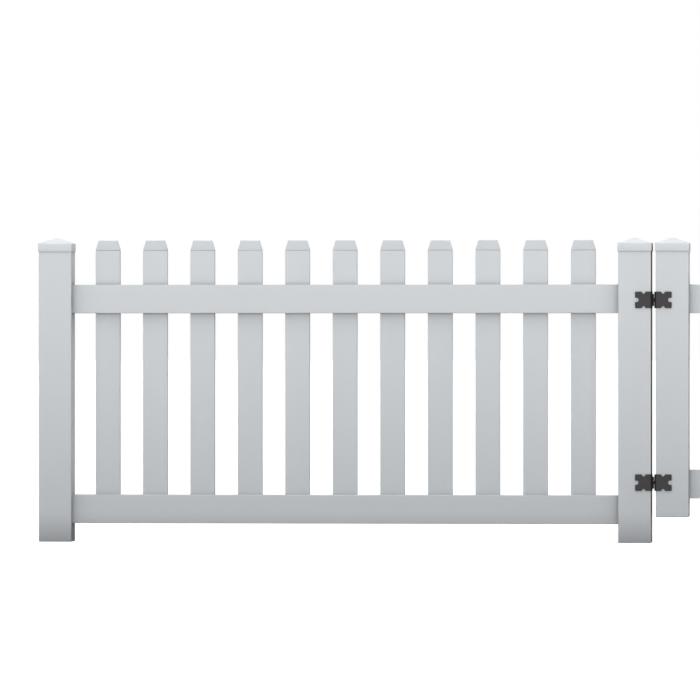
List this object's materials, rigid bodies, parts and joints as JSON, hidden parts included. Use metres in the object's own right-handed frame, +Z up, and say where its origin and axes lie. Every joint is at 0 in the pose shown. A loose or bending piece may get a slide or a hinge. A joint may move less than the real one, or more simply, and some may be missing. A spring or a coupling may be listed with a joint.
{
  "type": "vinyl picket fence bay with gate",
  "caption": "White vinyl picket fence bay with pyramid-capped posts and a hinged picket gate hung on dark butterfly hinges, closed by a latch post.",
  "frame": {"origin": "centre of the left post's base, at ground level", "axes": "+X along the fence from the left post to the gate, +Y away from the side that carries the hinges, +Z up"},
  "size_m": [3.2044, 0.1091, 0.9452],
  "materials": {
    "white_vinyl": "gloss",
    "moulded_cap": "gloss",
    "hinge_leaf": "satin",
    "hinge_pin": "satin"
  },
  "bodies": {
    "fence": {"left_post": "white_vinyl", "left_post_cap": "moulded_cap", "hinge_post": "white_vinyl", "hinge_post_cap": "moulded_cap", "latch_post": "white_vinyl", "latch_post_cap": "moulded_cap", "top_rail": "white_vinyl", "bottom_rail": "white_vinyl", "picket_01": "white_vinyl", "picket_02": "white_vinyl", "picket_03": "white_vinyl", "picket_04": "white_vinyl", "picket_05": "white_vinyl", "picket_06": "white_vinyl", "picket_07": "white_vinyl", "picket_08": "white_vinyl", "picket_09": "white_vinyl", "picket_10": "white_vinyl", "picket_11": "white_vinyl", "picket_caps": "moulded_cap", "upper_hinge_post_leaf": "hinge_leaf", "upper_hinge_pin": "hinge_pin", "lower_hinge_post_leaf": "hinge_leaf", "lower_hinge_pin": "hinge_pin"},
    "gate": {"gate_hinge_stile": "white_vinyl", "gate_hinge_stile_cap": "moulded_cap", "gate_hinge_stile_plug": "moulded_cap", "gate_latch_stile": "white_vinyl", "gate_latch_stile_cap": "moulded_cap", "gate_latch_stile_plug": "moulded_cap", "gate_top_rail": "white_vinyl", "gate_bottom_rail": "white_vinyl", "gate_picket_1": "white_vinyl", "gate_picket_2": "white_vinyl", "gate_picket_3": "white_vinyl", "gate_picket_4": "white_vinyl", "gate_picket_5": "white_vinyl", "gate_picket_6": "white_vinyl", "gate_picket_caps": "moulded_cap", "upper_hinge_gate_leaf": "hinge_leaf", "lower_hinge_gate_leaf": "hinge_leaf"}
  },
  "joints": [
    {"name": "gate_swing", "type": "hinge", "parent": "fence", "child": "gate", "pos_m": [1.86155, -0.0538, 0.7512], "axis": [0, 0, -1], "range_deg": [0, 120]}
  ]
}
